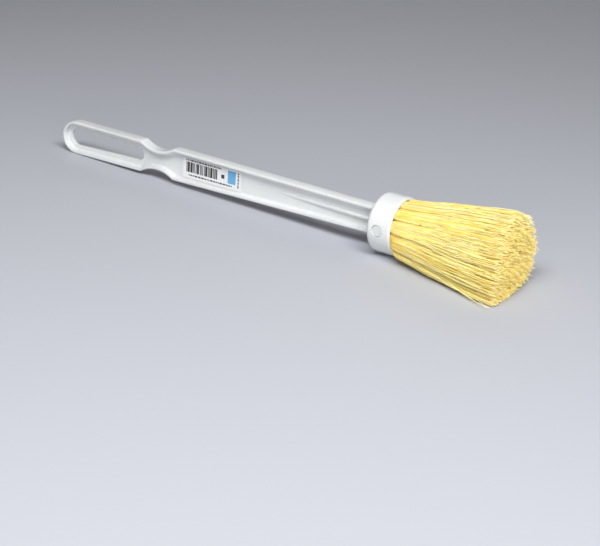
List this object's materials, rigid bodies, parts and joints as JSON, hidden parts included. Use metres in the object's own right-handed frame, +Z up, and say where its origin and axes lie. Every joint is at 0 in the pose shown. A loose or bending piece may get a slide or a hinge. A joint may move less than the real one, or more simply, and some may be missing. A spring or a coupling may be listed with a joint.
{
  "type": "round whitewash brush",
  "caption": "Round whitewash brush: long white moulded handle with a hanging loop, a short cup and a flared bundle of yellow bristles set in tufts.",
  "frame": {"origin": "on the table, under the middle of the whole brush's box, with the brush lying as it rests: on the loop's edge, the cup and the lowest bristles", "axes": "+X from the hanging loop to the bristle tips, +Z up from the table, -Y is the front of the handle, which carries the label"},
  "size_m": [0.388, 0.0634, 0.0474],
  "materials": {
    "white_plastic": "satin moulded",
    "block_plastic": "matt moulded",
    "bristle": "fine crimped filament",
    "anchor_steel": "cut flat wire",
    "label_paper": "smooth coated"
  },
  "bodies": {
    "root": {"handle": "white_plastic", "tuft_block": "block_plastic", "label": "label_paper", "tuft_01": "bristle", "tuft_02": "bristle", "tuft_03": "bristle", "tuft_04": "bristle", "tuft_05": "bristle", "tuft_06": "bristle", "tuft_07": "bristle", "tuft_08": "bristle", "tuft_09": "bristle", "tuft_10": "bristle", "tuft_11": "bristle", "tuft_12": "bristle", "tuft_13": "bristle", "tuft_14": "bristle", "tuft_15": "bristle", "tuft_16": "bristle", "tuft_17": "bristle", "tuft_18": "bristle", "tuft_19": "bristle", "anchor_01": "anchor_steel", "anchor_02": "anchor_steel", "anchor_03": "anchor_steel", "anchor_04": "anchor_steel", "anchor_05": "anchor_steel", "anchor_06": "anchor_steel", "anchor_07": "anchor_steel", "anchor_08": "anchor_steel", "anchor_09": "anchor_steel", "anchor_10": "anchor_steel", "anchor_11": "anchor_steel", "anchor_12": "anchor_steel", "anchor_13": "anchor_steel", "anchor_14": "anchor_steel", "anchor_15": "anchor_steel", "anchor_16": "anchor_steel", "anchor_17": "anchor_steel", "anchor_18": "anchor_steel", "anchor_19": "anchor_steel"}
  },
  "joints": []
}
